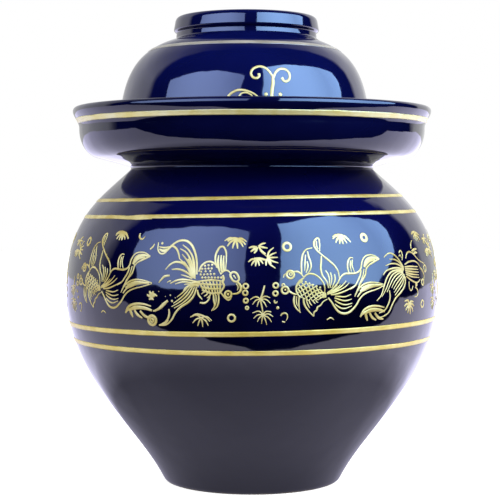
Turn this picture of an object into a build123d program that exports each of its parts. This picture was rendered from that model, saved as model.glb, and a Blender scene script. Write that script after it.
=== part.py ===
from build123d import *
from math import hypot
import os

# Water seal pickle jar of glazed stoneware, in millimetres. The origin is the centre of the foot, on the
# table, and +Z goes up through the mouth. Each piece is thrown on a wheel, so it is an outline of lines and
# curves turned round Z. A point of an outline is a radius and a height.

# Jar
belly_radius = 120.0
belly_height = 122.0      # the widest level, above the table
shoulder_rise = 80.5      # from the widest level up to the ledge under the trough
foot_radius = 58.3        # just above the rounded edge of the foot
foot_edge = 3.0           # size of that rounding
foot_ring_width = 9.0     # the unglazed ring that the jar stands on
foot_recess = 3.5         # depth of the hollow inside that ring
jar_wall = 6.0
jar_floor = 7.0
floor_turn = 10.0         # size of the rounding between floor and wall, inside
mouth_radius = 54.0
collar_wall = 6.0
collar_round = 2.0        # rounding of the collar's two top edges
collar_freeboard = 4.25   # how far the collar stands above the trough's lip
neck_turn = 5.0           # size of the rounding between collar and shoulder, inside

# Shape of the jar's outline, as shares of its rises and of its widths
foot_lean_share = 0.28
belly_low_share = 0.44
belly_high_share = 0.61
shoulder_out_share = 0.48
shoulder_down_share = 0.245
neck_drop_share = 0.5

# Water trough
seat_width = 17.0         # ledge round the collar that the trough is luted on
slip_film = 0.2           # film of slip between the trough's bore and the collar
trough_floor = 7.0
trough_wall = 5.5
moat_width = 24.3         # water between the cover's rim and the trough's wall
underside_rise = 6.0      # from the ledge to the start of the trough's bend
bend_width = 11.4         # width of the bend between underside and wall
waist_rise = 17.5         # from the floor to the narrowest level of the wall
flare_rise = 11.0         # from there to the widest level of the lip
lip_flare = 4.0           # how far the lip flares out
bend_low_share = 0.5
bend_high_share = 0.4
moat_low_share = 0.53
moat_high_share = 0.31
flare_low_share = 0.45
flare_high_share = 0.32
lip_round_share = 2 / 3

# Cover
cover_shift = -4.8        # the cover was set down this far to the left of the jar's axis
cover_play = 5.5          # flat floor outside the rim, so the cover may stand off centre
standing_gap = 16.1       # between the collar and the cover's rim
cover_wall = 5.5
rim_round = 1.5           # rounding of the rim's two edges
crown_turn = 8.0          # size of the rounding at the edge of the flat crown, inside
knob_headroom = 11.0      # from the inner lid's knob to the crown
cover_upright_share = 0.61
crown_out_share = 0.79
crown_down_share = 0.109

# Foot ring of the cover
ring_shift = -3.6         # the ring was luted a little to one side of the bowl's middle
ring_radius = 45.5
ring_wall = 6.0
ring_height = 14.8
ring_bulge = 1.4          # how far its lip stands out
ring_taper = 0.3          # how far the wall under the lip leans in
ring_lean = 0.8           # how far the lip's wall leans in
ring_turn = 2.2           # rounding of its inner edge
ring_waist_share = 0.26
ring_widest_share = 0.44
ring_shoulder_share = 0.75
ring_bend_low_share = 0.4
ring_bend_high_share = 0.55
ring_lip_share = 0.75
ring_top_share = 0.3

# Inner lid
lid_overhang = 2.0        # how far the lid reaches past the collar
lid_thickness = 6.0
lid_edge = 4.0            # thickness at the lid's rounded edge
lid_round = 1.5
plug_clearance = 1.5      # between the lid's flange and the collar's bore
flange_depth = 6.0
flange_width = 6.5
knob_height = 17.0
knob_radius = 11.0
knob_neck_radius = 7.0
knob_seat_radius = 9.0
knob_widest_share = 0.65
knob_neck_share = 0.22

# Gold lines, each a thin fired layer between two planes. Tilted ones are higher on the right.
gilt_film = 0.1           # flux between the glaze and the gold
gilt_thickness = 0.3
trough_line_share = 0.43  # level, as a share of the lip's flare
trough_line_width = 4.5
shoulder_line_shares = (0.631, 0.754)
shoulder_line_width = 2.3
shoulder_line_tilt = 1.0
belly_line_shares = (0.767, 0.861)
belly_line_width = 2.8
belly_line_tilts = (0.35, 0.86)
cover_line_share = 0.902  # level, as a share of the cover's height
cover_line_width = 1.3

# Levels and radii that follow
seat_height = belly_height + shoulder_rise
collar_radius = mouth_radius + collar_wall
seam_radius = collar_radius + seat_width
floor_height = seat_height + trough_floor
waist_height = floor_height + waist_rise
lip_height = waist_height + flare_rise
lip_top = lip_height + trough_wall / 2
collar_top = lip_top + collar_freeboard
rim_radius = collar_radius + standing_gap + cover_wall
waist_radius = rim_radius + moat_width + trough_wall
lip_radius = waist_radius + lip_flare
lid_top = collar_top + lid_thickness
crown_height = lid_top + knob_height + knob_headroom
cover_top = crown_height + cover_wall
cover_rise = cover_top - floor_height - rim_round


def turned(start, *runs):
    """A solid turned round Z. Each run lists the points after the last one: one is a line, more a curve."""
    edges = []
    for run in runs:
        points = (start, *run)
        edges.append(Line(*points) if len(run) == 1 else Bezier(*points))
        start = run[-1]
    return revolve(Plane.XZ * make_face(edges), Axis.Z)


def toward(start, end, distance):
    """The point at a distance from start, on the way to end."""
    step = distance / hypot(end[0] - start[0], end[1] - start[1])
    return (start[0] + (end[0] - start[0]) * step, start[1] + (end[1] - start[1]) * step)


def moved_left(start, end, distance):
    """Both points of a straight run, moved to the left of the way from start to end."""
    step = distance / hypot(end[0] - start[0], end[1] - start[1])
    across, up = (start[1] - end[1]) * step, (end[0] - start[0]) * step
    return (start[0] + across, start[1] + up), (end[0] + across, end[1] + up)


def at_height(start, end, height):
    """Where the line through two points crosses a height."""
    return (start[0] + (end[0] - start[0]) * (height - start[1]) / (end[1] - start[1]), height)


# Control points of the jar's outside: foot to widest level, and on to the ledge under the trough
foot_point = (foot_radius, foot_edge)
foot_handle = (
    foot_radius + foot_lean_share * (belly_radius - foot_radius),
    foot_edge + foot_lean_share * (belly_height - foot_edge),
)
belly_low_handle = (belly_radius, belly_height - belly_low_share * (belly_height - foot_edge))
belly_point = (belly_radius, belly_height)
belly_high_handle = (belly_radius, belly_height + belly_high_share * shoulder_rise)
shoulder_handle = (
    seam_radius + shoulder_out_share * (belly_radius - seam_radius),
    seat_height - shoulder_down_share * shoulder_rise,
)
seam_point = (seam_radius, seat_height)


def inward(point, distance):
    return (point[0] - distance, point[1])


def jar_body():
    inner_foot, inner_foot_handle = moved_left(foot_point, foot_handle, jar_wall)
    floor_level = foot_recess + jar_floor
    floor_corner = at_height(inner_foot, inner_foot_handle, floor_level)
    _, inner_shoulder_handle = moved_left(seam_point, shoulder_handle, -jar_wall)
    neck_corner = (mouth_radius, seat_height - neck_drop_share * jar_wall)
    ring_outer = foot_radius - foot_edge
    ring_inner = ring_outer - foot_ring_width
    return turned(
        (0, foot_recess),
        [(ring_inner - foot_recess, foot_recess)],
        [(ring_inner, foot_recess), (ring_inner, 0)],
        [(ring_outer, 0)],
        [(foot_radius - foot_edge / 2, 0), foot_point],
        [foot_handle, belly_low_handle, belly_point],
        [belly_high_handle, shoulder_handle, seam_point],
        [(collar_radius, seat_height)],
        [(collar_radius, collar_top - collar_round)],
        [(collar_radius, collar_top), (collar_radius - collar_round, collar_top)],
        [(mouth_radius + collar_round, collar_top)],
        [(mouth_radius, collar_top), (mouth_radius, collar_top - collar_round)],
        [(mouth_radius, neck_corner[1] + neck_turn)],
        [neck_corner, toward(neck_corner, inner_shoulder_handle, neck_turn)],
        [inner_shoulder_handle, inward(belly_high_handle, jar_wall), inward(belly_point, jar_wall)],
        [
            inward(belly_low_handle, jar_wall),
            inner_foot_handle,
            toward(floor_corner, inner_foot_handle, floor_turn),
        ],
        [floor_corner, (floor_corner[0] - floor_turn, floor_level)],
        [(0, floor_level)],
        [(0, foot_recess)],
    )


# Control points of the trough's outside: underside, bend, wall and flared lip
bend_start = (waist_radius - bend_width, seat_height + underside_rise)
bend_handle = toward(bend_start, seam_point, -bend_low_share * bend_width)
waist_point = (waist_radius, waist_height)
wall_handle = (waist_radius, bend_start[1] + bend_high_share * (waist_height - bend_start[1]))
flare_low_handle = (waist_radius, waist_height + flare_low_share * flare_rise)
flare_high_handle = (lip_radius, lip_height - flare_high_share * flare_rise)
lip_point = (lip_radius, lip_height)


def water_trough():
    bore = collar_radius + slip_film
    flat_edge = rim_radius + cover_play
    moat_wall = waist_radius - trough_wall
    lip_crest = (lip_radius, lip_height + lip_round_share * trough_wall)
    return turned(
        (bore, seat_height),
        [seam_point],
        [bend_start],
        [bend_handle, wall_handle, waist_point],
        [flare_low_handle, flare_high_handle, lip_point],
        [lip_crest, inward(lip_crest, trough_wall), inward(lip_point, trough_wall)],
        [
            inward(flare_high_handle, trough_wall),
            inward(flare_low_handle, trough_wall),
            inward(waist_point, trough_wall),
        ],
        [
            (moat_wall, floor_height + moat_high_share * waist_rise),
            (flat_edge + moat_low_share * (moat_wall - flat_edge), floor_height),
            (flat_edge, floor_height),
        ],
        [(bore, floor_height)],
        [(bore, seat_height)],
    )


# Control points of the cover's outside: rim to the edge of its flat top
rim_point = (rim_radius, floor_height + rim_round)
cover_upright_handle = (rim_radius, rim_point[1] + cover_upright_share * cover_rise)
crown_handle = (
    ring_radius + crown_out_share * (rim_radius - ring_radius),
    cover_top - crown_down_share * cover_rise,
)
crown_point = (ring_radius, cover_top)


def cover_bowl():
    inner_crown, inner_crown_handle = moved_left(crown_point, crown_handle, -cover_wall)
    crown_corner = at_height(inner_crown, inner_crown_handle, crown_height)
    inner_rim = rim_radius - cover_wall
    return Pos(cover_shift, 0) * turned(
        (inner_rim + rim_round, floor_height),
        [(rim_radius - rim_round, floor_height)],
        [(rim_radius, floor_height), rim_point],
        [cover_upright_handle, crown_handle, crown_point],
        [(0, cover_top)],
        [(0, crown_height)],
        [(crown_corner[0] - crown_turn, crown_height)],
        [crown_corner, toward(crown_corner, inner_crown_handle, crown_turn)],
        [inner_crown_handle, inward(cover_upright_handle, cover_wall), inward(rim_point, cover_wall)],
        [(inner_rim, floor_height), (inner_rim + rim_round, floor_height)],
    )


def cover_foot_ring():
    inner = ring_radius - ring_wall
    outer = ring_radius + ring_bulge
    neck = ring_radius - ring_taper
    lip = outer - ring_lean
    top = cover_top + ring_height
    waist = cover_top + ring_waist_share * ring_height
    widest = cover_top + ring_widest_share * ring_height
    shoulder = cover_top + ring_shoulder_share * ring_height
    flat_edge = outer - ring_wall
    return Pos(ring_shift, 0) * turned(
        (inner, cover_top),
        [(ring_radius, cover_top)],
        [(neck, waist)],
        [
            (neck, waist + ring_bend_low_share * (widest - waist)),
            (outer, widest - ring_bend_high_share * (widest - waist)),
            (outer, widest),
        ],
        [(lip, shoulder)],
        [
            (lip - ring_lean / 2, shoulder + ring_lip_share * (top - shoulder)),
            (lip - ring_top_share * ring_wall, top),
            (flat_edge + ring_turn / 2, top),
        ],
        [(inner, top), (inner, top - ring_turn)],
        [(inner, cover_top)],
    )


def inner_lid():
    edge = collar_radius + lid_overhang
    flange = mouth_radius - plug_clearance
    return turned(
        (0, collar_top),
        [(flange - flange_width, collar_top)],
        [(flange - flange_width, collar_top - flange_depth)],
        [(flange, collar_top - flange_depth)],
        [(flange, collar_top)],
        [(edge, collar_top)],
        [(edge, collar_top + lid_edge - lid_round)],
        [(edge, collar_top + lid_edge), (edge - lid_round, collar_top + lid_edge)],
        [(knob_radius, lid_top)],
        [(0, lid_top)],
        [(0, collar_top)],
    )


def inner_lid_knob():
    neck = lid_top + knob_neck_share * knob_height
    widest = lid_top + knob_widest_share * knob_height
    top = lid_top + knob_height
    return turned(
        (0, lid_top),
        [(knob_seat_radius, lid_top)],
        [(knob_neck_radius, lid_top), (knob_neck_radius, neck)],
        [(knob_neck_radius, (neck + widest) / 2), (knob_radius, (neck + widest) / 2), (knob_radius, widest)],
        [(knob_radius, top), (knob_neck_radius, top), (0, top)],
        [(0, lid_top)],
    )


def jar_skin(grow):
    """The jar's filled outside, grown by a thickness."""
    leaning_foot, leaning_foot_handle = moved_left(foot_point, foot_handle, -grow)
    leaning_seam, leaning_shoulder = moved_left(seam_point, shoulder_handle, grow)
    return turned(
        (0, leaning_foot[1]),
        [leaning_foot],
        [leaning_foot_handle, inward(belly_low_handle, -grow), inward(belly_point, -grow)],
        [inward(belly_high_handle, -grow), leaning_shoulder, leaning_seam],
        [(0, leaning_seam[1])],
        [(0, leaning_foot[1])],
    )


def lip_skin(grow):
    """The flare of the trough's lip, filled and grown by a thickness."""
    return turned(
        (0, waist_height),
        [inward(waist_point, -grow)],
        [inward(flare_low_handle, -grow), inward(flare_high_handle, -grow), inward(lip_point, -grow)],
        [(0, lip_height)],
        [(0, waist_height)],
    )


def cover_skin(grow):
    """The cover's filled outside, grown by a thickness."""
    leaning_crown, leaning_handle = moved_left(crown_point, crown_handle, grow)
    return Pos(cover_shift, 0) * turned(
        (0, rim_point[1]),
        [inward(rim_point, -grow)],
        [inward(cover_upright_handle, -grow), leaning_handle, leaning_crown],
        [(0, leaning_crown[1])],
        [(0, rim_point[1])],
    )


def gilt_line(skin, height, width, tilt):
    """A gold line on a skin, between two planes that are square to the tilted axis."""
    span = 3 * belly_radius
    slab = Pos(0, 0, height) * Rot(0, -tilt, 0) * Box(span, span, width)
    return (skin(gilt_film + gilt_thickness) & slab) - skin(gilt_film)


def shoulder_line(share):
    return gilt_line(jar_skin, belly_height + share * shoulder_rise, shoulder_line_width, shoulder_line_tilt)


def belly_line(share, tilt):
    return gilt_line(jar_skin, share * belly_height, belly_line_width, tilt)


pieces = {
    "jar_body": jar_body(),
    "water_trough": water_trough(),
    "cover_bowl": cover_bowl(),
    "cover_foot_ring": cover_foot_ring(),
    "inner_lid": inner_lid(),
    "inner_lid_knob": inner_lid_knob(),
    "gilt_band_trough": gilt_line(
        lip_skin, waist_height + trough_line_share * flare_rise, trough_line_width, 0
    ),
    "gilt_bands_shoulder": Compound(children=[shoulder_line(share) for share in shoulder_line_shares]),
    "gilt_bands_belly": Compound(
        children=[belly_line(share, tilt) for share, tilt in zip(belly_line_shares, belly_line_tilts)]
    ),
    "gilt_band_cover": gilt_line(
        cover_skin, rim_point[1] + cover_line_share * cover_rise, cover_line_width, 0
    ),
}

os.makedirs("parts", exist_ok=True)
for node, piece in pieces.items():
    export_step(piece, f"parts/{node}.step")
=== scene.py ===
from bisect import bisect_left
from math import cos, hypot, pi, radians, sin, tan
import bpy
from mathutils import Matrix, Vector, noise


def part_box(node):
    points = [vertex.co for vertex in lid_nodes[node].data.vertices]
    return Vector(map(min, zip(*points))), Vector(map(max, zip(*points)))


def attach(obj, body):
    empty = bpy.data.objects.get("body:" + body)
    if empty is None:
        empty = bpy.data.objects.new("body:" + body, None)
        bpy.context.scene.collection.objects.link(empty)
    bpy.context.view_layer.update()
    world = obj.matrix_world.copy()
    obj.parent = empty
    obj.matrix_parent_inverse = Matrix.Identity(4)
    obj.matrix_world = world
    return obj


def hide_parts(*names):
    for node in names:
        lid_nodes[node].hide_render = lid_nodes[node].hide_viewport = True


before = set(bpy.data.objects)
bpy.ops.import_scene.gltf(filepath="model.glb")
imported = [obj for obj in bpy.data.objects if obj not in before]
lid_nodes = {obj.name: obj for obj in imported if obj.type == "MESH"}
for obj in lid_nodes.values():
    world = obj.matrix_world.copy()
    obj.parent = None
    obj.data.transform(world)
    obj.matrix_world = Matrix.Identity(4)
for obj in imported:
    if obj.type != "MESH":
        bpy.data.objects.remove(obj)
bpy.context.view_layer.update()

# Jar body. One stoneware pot thrown on the wheel: foot ring, round belly, shoulder, and the collar that
# stands inside the trough. It is dipped in cobalt glaze, and the ring that it stands on is wiped bare.
jar_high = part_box("jar_body")[1]
belly_radius = jar_high.x
collar_top = jar_high.z
seat_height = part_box("water_trough")[0].z
belly_height = 0.122
foot_radius = 0.0583
foot_edge = 0.003
foot_ring_width = 0.009
foot_recess = 0.0035
pot_wall = 0.006
pot_floor = 0.007
collar_radius = 0.060
seam_radius = 0.077
edge_round = 0.002
inner_turn = 0.008
foot_point = (foot_radius, foot_edge)
foot_handle = (0.07558, 0.03632)
belly_low_handle = (belly_radius, 0.06964)
belly_point = (belly_radius, belly_height)
belly_high_handle = (belly_radius, 0.17111)
shoulder_handle = (0.09764, 0.18278)
seam_point = (seam_radius, seat_height)
weld = 0.000002


def clear_selection():
    if bpy.context.object and bpy.context.object.mode == "EDIT":
        bpy.ops.object.mode_set(mode="OBJECT")
    bpy.ops.object.select_all(action="DESELECT")


def thrown(name, centre, start, *runs):
    """A pot turned on the wheel. Each run of its outline is a line to a point, or a curve by its handles."""
    clear_selection()
    bpy.ops.curve.primitive_bezier_curve_add()
    pot = bpy.context.object
    pot.name = pot.data.name = name
    pot.data.resolution_u = 28
    points = pot.data.splines[0].bezier_points
    points.add(len(runs) - 1)
    for point in points:
        point.handle_left_type = point.handle_right_type = "FREE"
    at = Vector((start[0], 0, start[1]))
    points[0].co = points[0].handle_left = points[0].handle_right = at
    for here, after, run in zip(points[:-1], points[1:], runs):
        end = Vector((run[-1][0], 0, run[-1][1]))
        after.co = after.handle_left = after.handle_right = end
        handles = [Vector((r, 0, z)) for r, z in run[:-1]]
        if not handles:
            here.handle_right_type = after.handle_left_type = "VECTOR"
        elif len(handles) == 1:
            here.handle_right = at.lerp(handles[0], 2 / 3)
            after.handle_left = end.lerp(handles[0], 2 / 3)
        else:
            here.handle_right, after.handle_left = handles
        at = end
    bpy.ops.object.convert(target="MESH")
    bpy.ops.object.mode_set(mode="EDIT")
    bpy.ops.mesh.select_all(action="SELECT")
    bpy.ops.mesh.remove_doubles(threshold=weld)
    bpy.ops.mesh.spin(steps=192, angle=2 * pi, center=(0, 0, 0), axis=(0, 0, 1))
    bpy.ops.mesh.select_all(action="SELECT")
    bpy.ops.mesh.remove_doubles(threshold=weld)
    bpy.ops.mesh.normals_make_consistent(inside=False)
    bpy.ops.transform.translate(value=centre)
    bpy.ops.object.mode_set(mode="OBJECT")
    bpy.ops.object.shade_smooth_by_angle(angle=radians(25))
    return pot


def stepped(start, end, distance):
    """The point at a distance from start, on the way to end."""
    share = distance / hypot(end[0] - start[0], end[1] - start[1])
    return (start[0] + (end[0] - start[0]) * share, start[1] + (end[1] - start[1]) * share)


def shifted(start, end, distance):
    """Both ends of a straight run, moved to the left of the way from start to end."""
    share = distance / hypot(end[0] - start[0], end[1] - start[1])
    across, up = (start[1] - end[1]) * share, (end[0] - start[0]) * share
    return (start[0] + across, start[1] + up), (end[0] + across, end[1] + up)


def inward(point, distance):
    return (point[0] - distance, point[1])


def crossing(start, end, height):
    """Where the line through two points crosses a height."""
    return (start[0] + (end[0] - start[0]) * (height - start[1]) / (end[1] - start[1]), height)


inner_foot, inner_foot_handle = shifted(foot_point, foot_handle, pot_wall)
_, inner_shoulder_handle = shifted(seam_point, shoulder_handle, -pot_wall)
mouth_radius = collar_radius - pot_wall
neck_corner = (mouth_radius, seat_height - pot_wall / 2)
floor_level = foot_recess + pot_floor
floor_corner = crossing(inner_foot, inner_foot_handle, floor_level)
ring_outer = foot_radius - foot_edge
ring_inner = ring_outer - foot_ring_width

jar = thrown(
    "glazed_jar", (0, 0, 0),
    (0, foot_recess),
    [(ring_inner - foot_recess, foot_recess)],
    [(ring_inner, foot_recess), (ring_inner, 0)],
    [(ring_outer, 0)],
    [(foot_radius - foot_edge / 2, 0), foot_point],
    [foot_handle, belly_low_handle, belly_point],
    [belly_high_handle, shoulder_handle, seam_point],
    [(collar_radius, seat_height)],
    [(collar_radius, collar_top - edge_round)],
    [(collar_radius, collar_top), (collar_radius - edge_round, collar_top)],
    [(mouth_radius + edge_round, collar_top)],
    [(mouth_radius, collar_top), (mouth_radius, collar_top - edge_round)],
    [(mouth_radius, neck_corner[1] + inner_turn)],
    [neck_corner, stepped(neck_corner, inner_shoulder_handle, inner_turn)],
    [inner_shoulder_handle, inward(belly_high_handle, pot_wall), inward(belly_point, pot_wall)],
    [
        inward(belly_low_handle, pot_wall), inner_foot_handle,
        stepped(floor_corner, inner_foot_handle, inner_turn),
    ],
    [floor_corner, inward(floor_corner, inner_turn)],
    [(0, floor_level)],
)


def linear(code):
    """The linear colour of an sRGB hex code."""
    parts = [int(code[i:i + 2], 16) / 255 for i in (1, 3, 5)]
    return tuple(p / 12.92 if p <= 0.04045 else ((p + 0.055) / 1.055) ** 2.4 for p in parts) + (1.0,)


def add(tree, kind, inputs=None, **settings):
    """A node with its settings. Each input is given a value, or the output that it is linked to."""
    made = tree.nodes.new("ShaderNode" + kind)
    for name, value in settings.items():
        setattr(made, name, value)
    for name, value in (inputs or {}).items():
        if isinstance(value, bpy.types.NodeSocket):
            tree.links.new(value, made.inputs[name])
        else:
            made.inputs[name].default_value = value
    return made


def toned(tree, factor, low, dark, high, light):
    """A colour that goes from dark to light as a factor goes from low to high."""
    ramp = add(tree, "ValToRGB", {"Fac": factor})
    ramp.color_ramp.elements[0].position, ramp.color_ramp.elements[1].position = low, high
    ramp.color_ramp.elements[0].color, ramp.color_ramp.elements[1].color = linear(dark), linear(light)
    return ramp.outputs["Color"]


def new_material(name):
    material = bpy.data.materials.new(name)
    material.use_nodes = True
    material.node_tree.nodes.clear()
    return material, material.node_tree


def cobalt_glaze(name, tones, ior=1.5, bare_below=None, shaded_by_height=False):
    """Cobalt oxide in a clear feldspar glaze, fired to a deep gloss. A band of clay may stay bare."""
    material, tree = new_material(name)
    place = add(tree, "TexCoord").outputs["Object"]
    pooling = add(tree, "TexNoise", {"Vector": place, "Scale": 14.0, "Detail": 3.0, "Roughness": 0.55})
    thinness_and_shade = pooling.outputs[0]
    if shaded_by_height:
        # The tone is lighter on the shoulder and darker near the foot: painted shade for light that falls
        # from above.
        level = add(tree, "SeparateXYZ", {0: place}).outputs["Z"]
        painted_height_shade = add(tree, "MapRange", {"Value": level, "From Min": 0.08, "From Max": 0.2}).outputs[0]
        thinness_and_shade = add(tree, "Mix", {0: 0.5, 2: thinness_and_shade, 3: painted_height_shade}).outputs[0]
    colour = toned(tree, thinness_and_shade, 0.35, tones[0], 0.68, tones[1])
    ripple = add(tree, "TexNoise", {"Vector": place, "Scale": 50.0, "Detail": 1.5, "Roughness": 0.45})
    peel = add(tree, "TexNoise", {"Vector": place, "Scale": 420.0, "Detail": 2.0, "Roughness": 0.5})
    waves = add(tree, "Bump", {"Height": ripple.outputs["Fac"], "Distance": 0.00042})
    skin = add(
        tree, "Bump", {"Height": peel.outputs["Fac"], "Distance": 0.000004, "Normal": waves.outputs[0]}
    )
    shader = add(tree, "BsdfPrincipled", {"IOR": ior, "Roughness": 0.05, "Normal": skin.outputs[0]})
    if bare_below is not None:
        height = add(tree, "SeparateXYZ", {0: place}).outputs["Z"]
        edge = add(tree, "TexNoise", {"Vector": place, "Scale": 90.0, "Detail": 2.0})
        edge_wave, edge_width = 0.0016, 0.0006
        wavy = add(tree, "Math", {0: edge.outputs["Fac"], 1: edge_wave, 2: height}, operation="MULTIPLY_ADD")
        glazed = add(
            tree, "MapRange",
            {"Value": wavy.outputs[0], "From Min": bare_below, "From Max": bare_below + edge_width},
        ).outputs[0]
        grain = add(tree, "TexNoise", {"Vector": place, "Scale": 700.0, "Detail": 4.0})
        clay = toned(tree, grain.outputs["Fac"], 0.3, "#8E7F6C", 0.7, "#B7A78F")
        mixed = add(tree, "Mix", data_type="RGBA")
        tree.links.new(glazed, mixed.inputs[0])
        tree.links.new(clay, mixed.inputs[6])
        tree.links.new(colour, mixed.inputs[7])
        colour = mixed.outputs[2]
        gloss = add(tree, "MapRange", {"Value": glazed, "To Min": 0.8, "To Max": 0.05})
        tree.links.new(gloss.outputs[0], shader.inputs["Roughness"])
    tree.links.new(colour, shader.inputs["Base Color"])
    add(tree, "OutputMaterial", {"Surface": shader.outputs[0]})
    return material


def finished(piece, material, body, slot_name, *nodes):
    """Gives a piece its finish, its body and the nodes that it stands for, which it hides. Its slot name in
    the record is not used.
    """
    piece.data.materials.clear()
    piece.data.materials.append(material)
    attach(piece, body)
    if nodes:
        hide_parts(*nodes)


jar_tones = ("#01021A", "#070A48")
# The jar's glaze is painted lighter on the shoulder and darker towards the foot, as shade.
foot_glaze = cobalt_glaze("cobalt_glaze_wiped_foot", jar_tones, bare_below=0.0012, shaded_by_height=True)
finished(jar, foot_glaze, "jar", "cobalt_glaze", "jar_body")

# Water trough. A thrown ring with an upright wall and a lip that flares out, luted with slip on the shoulder
# round the collar. The slip leaves a small rounded fillet under it.
lip_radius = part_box("water_trough")[1].x
trough_wall = 0.0055
waist_radius = 0.1114
waist_height = 0.227
lip_height = 0.238
trough_bore = 0.0602
moat_floor = seat_height + 0.007
moat_flat_edge = 0.0871
moat_wall_handle = (waist_radius - trough_wall, 0.21493)
moat_bend_handle = (0.09706, moat_floor)
bend_start = (0.100, 0.2085)
bend_handle = (0.1055, 0.2099)
wall_handle = (waist_radius, 0.2159)
waist_point = (waist_radius, waist_height)
flare_low_handle = (waist_radius, 0.23195)
flare_high_handle = (lip_radius, 0.23448)
lip_point = (lip_radius, lip_height)
lip_crest = (lip_radius, lip_height + trough_wall * 2 / 3)

trough = thrown(
    "glazed_trough", (0, 0, 0),
    (trough_bore, seat_height),
    [seam_point],
    [bend_start],
    [bend_handle, wall_handle, waist_point],
    [flare_low_handle, flare_high_handle, lip_point],
    [lip_crest, inward(lip_crest, trough_wall), inward(lip_point, trough_wall)],
    [inward(point, trough_wall) for point in (flare_high_handle, flare_low_handle, waist_point)],
    [moat_wall_handle, moat_bend_handle, (moat_flat_edge, moat_floor)],
    [(trough_bore, moat_floor)],
    [(trough_bore, seat_height)],
)
glaze = cobalt_glaze("cobalt_glaze", ("#04072E", "#080D42"))
finished(trough, glaze, "jar", "cobalt_glaze", "water_trough")

fillet_reach = 0.0026
fillet_hollow = 0.0009
fillet_root = (seam_radius - 0.0005, seat_height)
on_underside = stepped(seam_point, bend_start, fillet_reach)
on_shoulder = stepped(seam_point, shoulder_handle, fillet_reach)
between = ((on_underside[0] + on_shoulder[0]) / 2, (on_underside[1] + on_shoulder[1]) / 2)
fillet = thrown(
    "luting_fillet", (0, 0, 0),
    fillet_root, [on_shoulder], [stepped(seam_point, between, fillet_hollow), on_underside], [fillet_root],
)
finished(fillet, glaze, "jar", "cobalt_glaze")

# Cover. An inverted bowl whose rim stands in the water of the trough, thrown upside down and glazed all
# over but for the rim. It was set down a little to the left of the jar's axis.
cover_low, cover_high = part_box("cover_bowl")
cover_centre = ((cover_low.x + cover_high.x) / 2, 0, 0)
rim_radius = (cover_high.x - cover_low.x) / 2
rim_height = cover_low.z
cover_top = cover_high.z
rim_round = 0.0015
crown_radius = 0.0455
crown_height = cover_top - trough_wall
rim_point = (rim_radius, rim_height + rim_round)
cover_upright_handle = (rim_radius, 0.25584)
crown_handle = (0.07402, 0.27649)
crown_point = (crown_radius, cover_top)
inner_rim = rim_radius - trough_wall
inner_crown, inner_crown_handle = shifted(crown_point, crown_handle, -trough_wall)
crown_corner = crossing(inner_crown, inner_crown_handle, crown_height)

cover = thrown(
    "glazed_cover", cover_centre,
    (inner_rim + rim_round, rim_height),
    [(rim_radius - rim_round, rim_height)],
    [(rim_radius, rim_height), rim_point],
    [cover_upright_handle, crown_handle, crown_point],
    [(0, cover_top)],
    [(0, crown_height)],
    [inward(crown_corner, inner_turn)],
    [crown_corner, stepped(crown_corner, inner_crown_handle, inner_turn)],
    [inner_crown_handle, inward(cover_upright_handle, trough_wall), inward(rim_point, trough_wall)],
    [(inner_rim, rim_height), (inner_rim + rim_round, rim_height)],
)
# The cover's glaze is a lighter copy of the jar's cobalt glaze: painted light for the cover's place on top,
# under the light from above.
lit_cover_tones = ("#04093A", "#080F50")
cover_ior = 1.6
cover_glaze = cobalt_glaze("cobalt_glaze_on_cover", lit_cover_tones, cover_ior)
rim_glaze = cobalt_glaze("cobalt_glaze_wiped_rim", lit_cover_tones, cover_ior, rim_height + rim_round)
finished(cover, rim_glaze, "cover", "cobalt_glaze", "cover_bowl")

# Foot ring of the cover. A thrown ring with a rounded lip, luted on the bowl. Fingers lift the cover by it,
# and it is the foot when the cover lies upside down as a dish.
ring_low, ring_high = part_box("cover_foot_ring")
ring_centre = ((ring_low.x + ring_high.x) / 2, 0, 0)
ring_widest = (ring_high.x - ring_low.x) / 2
ring_top = ring_high.z
ring_base = ring_low.z
ring_wall = 0.006
ring_turn = 0.0022
ring_neck = crown_radius - 0.0003
ring_lip = ring_widest - 0.0008
ring_waist = 0.28835
ring_bulge = 0.29101
ring_shoulder = 0.2956
ring_low_bend = (ring_neck, 0.28941)
ring_high_bend = (ring_widest, 0.28955)
ring_lip_bend = (ring_lip - 0.0004, 0.29838)
ring_top_bend = (ring_lip - 0.0018, ring_top)
ring_bore = crown_radius - ring_wall

foot_ring = thrown(
    "glazed_foot_ring", ring_centre,
    (ring_bore, ring_base),
    [(crown_radius, ring_base)],
    [(ring_neck, ring_waist)],
    [ring_low_bend, ring_high_bend, (ring_widest, ring_bulge)],
    [(ring_lip, ring_shoulder)],
    [ring_lip_bend, ring_top_bend, (ring_widest - ring_wall + ring_turn / 2, ring_top)],
    [(ring_bore, ring_top), (ring_bore, ring_top - ring_turn)],
    [(ring_bore, ring_base)],
)
finished(foot_ring, cover_glaze, "cover", "cobalt_glaze", "cover_foot_ring")

slip_reach = 0.0024
slip_sag = 0.0009
slip_rise = 0.0016
slip_root = (crown_radius - 0.0008, ring_base - 0.0006)
slip = thrown(
    "ring_luting_slip", ring_centre,
    slip_root, [(crown_radius + slip_reach, ring_base - slip_sag)],
    [(crown_radius + 0.0004, ring_base), (ring_neck + 0.0001, ring_base + slip_rise)], [slip_root],
)
finished(slip, cover_glaze, "cover", "cobalt_glaze")

# Inner lid and its knob. A flat thrown disc with a locating flange under it closes the mouth, and a small
# knob is luted on its middle. Both are glazed on top and hidden under the cover.
for node in ("inner_lid", "inner_lid_knob"):
    lid_nodes[node].data.materials.clear()
    lid_nodes[node].data.materials.append(glaze)

# Fired gold lines. Liquid gold is banded on with a loaded brush while the pot turns, so each line is a low
# ridge whose width and level wander a little, and its two ends overlap where the brush came round.
film = 0.00003
relief = 0.00012
mm = 0.001


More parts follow.
